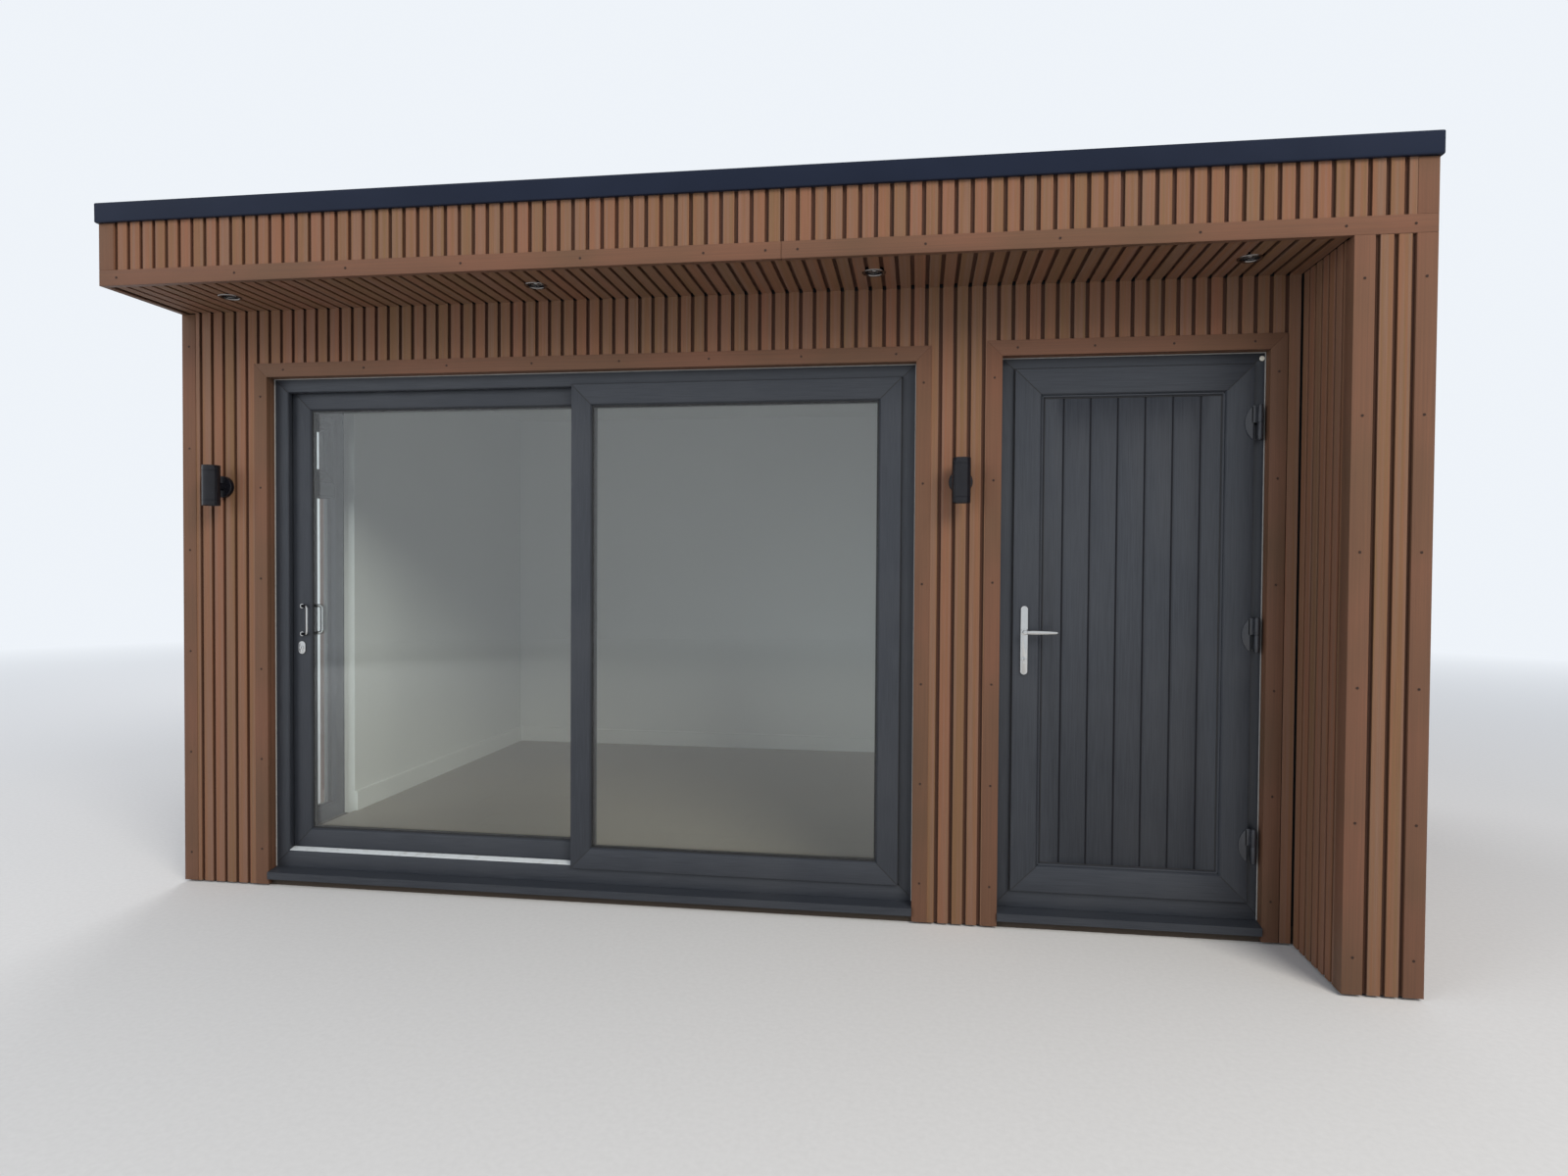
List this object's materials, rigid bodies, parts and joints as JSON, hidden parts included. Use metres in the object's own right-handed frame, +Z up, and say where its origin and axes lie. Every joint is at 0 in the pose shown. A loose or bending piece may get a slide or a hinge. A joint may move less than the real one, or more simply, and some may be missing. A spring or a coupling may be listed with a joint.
{
  "type": "garden office pod",
  "caption": "Flat-roofed insulated garden room in brown slatted cladding, with a canopy, a wide glazed sliding door and a plank-panel store door.",
  "frame": {"origin": "on the ground, under the middle of the roof's outline", "axes": "+X to the right seen from the front, +Y from front to back, +Z up"},
  "size_m": [4.42, 3.413, 2.558],
  "materials": {
    "cladding": "matte brown wood composite slats with fine grain",
    "cladding_trim": "matte brown wood composite trim",
    "dark_frame": "dark grey satin plastic profile",
    "dark_panel": "dark grey satin plank panel",
    "glazing": "clear sealed double glazing",
    "rail_metal": "bright mill aluminium",
    "pull_metal": "bright polished metal",
    "lever_metal": "bright polished chrome",
    "black_metal": "satin black paint",
    "light_rim": "bright rim round a recessed lamp",
    "roof_trim": "black satin roof edge trim",
    "roof_rubber": "black matte rubber membrane",
    "inner_lining": "white painted lining board",
    "white_trim": "white satin painted skirting",
    "laid_floor": "grey brown laid floor boards",
    "bearers": "treated timber deck and bearers"
  },
  "bodies": {
    "building": {"back_wall": "inner_lining", "ceiling": "inner_lining", "cladding_back": "cladding", "cladding_fascia": "cladding", "cladding_front": "cladding", "cladding_left": "cladding", "cladding_right": "cladding", "cladding_wing": "cladding", "corner_trims": "cladding_trim", "fanlight": "dark_frame", "fascia_trim": "cladding_trim", "fixed_glass": "glazing", "fixed_sash": "dark_frame", "floor_deck": "bearers", "floor_finish": "laid_floor", "front_wall_left": "inner_lining", "front_wall_middle": "inner_lining", "front_wall_right": "inner_lining", "front_wall_slide_head": "inner_lining", "front_wall_store_head": "inner_lining", "hinges_frame": "black_metal", "left_wall_back": "inner_lining", "left_wall_front": "inner_lining", "left_wall_head": "inner_lining", "right_wall": "inner_lining", "roof_deck": "bearers", "roof_edge_trim": "roof_trim", "roof_membrane": "roof_rubber", "skirting": "white_trim", "slide_architrave": "cladding_trim", "slide_frame": "dark_frame", "slide_rail": "rail_metal", "slide_sill": "dark_frame", "soffit": "cladding", "soffit_lights": "light_rim", "store_architrave": "cladding_trim", "store_frame": "dark_frame", "store_sill": "dark_frame", "wall_lights": "black_metal", "window_architrave": "cladding_trim", "window_frame": "dark_frame", "window_glass": "glazing", "window_sill": "dark_frame", "wing_wall": "inner_lining"},
    "sliding_door": {"sliding_sash": "dark_frame", "sliding_glass": "glazing", "pull_outer": "pull_metal", "pull_inner": "pull_metal"},
    "store_door": {"store_leaf": "dark_frame", "store_panel": "dark_panel", "hinges_leaf": "black_metal", "lever_plates": "lever_metal"},
    "lever": {"store_levers": "lever_metal"}
  },
  "joints": [
    {"name": "sash_slide", "type": "slide", "parent": "building", "child": "sliding_door", "axis": [1, 0, 0], "range_m": [0, 1.06]},
    {"name": "store_hinge", "type": "hinge", "parent": "building", "child": "store_door", "pos_m": [1.854, -1.2905, 0.33], "axis": [0, 0, 1], "range_deg": [0, 90]},
    {"name": "lever_turn", "type": "hinge", "parent": "store_door", "child": "lever", "pos_m": [1.08, -1.3085, 1.054], "axis": [0, 1, 0], "range_deg": [0, 38], "stiffness_Nm_per_rad": 1.5, "springref_deg": -22.92}
  ]
}
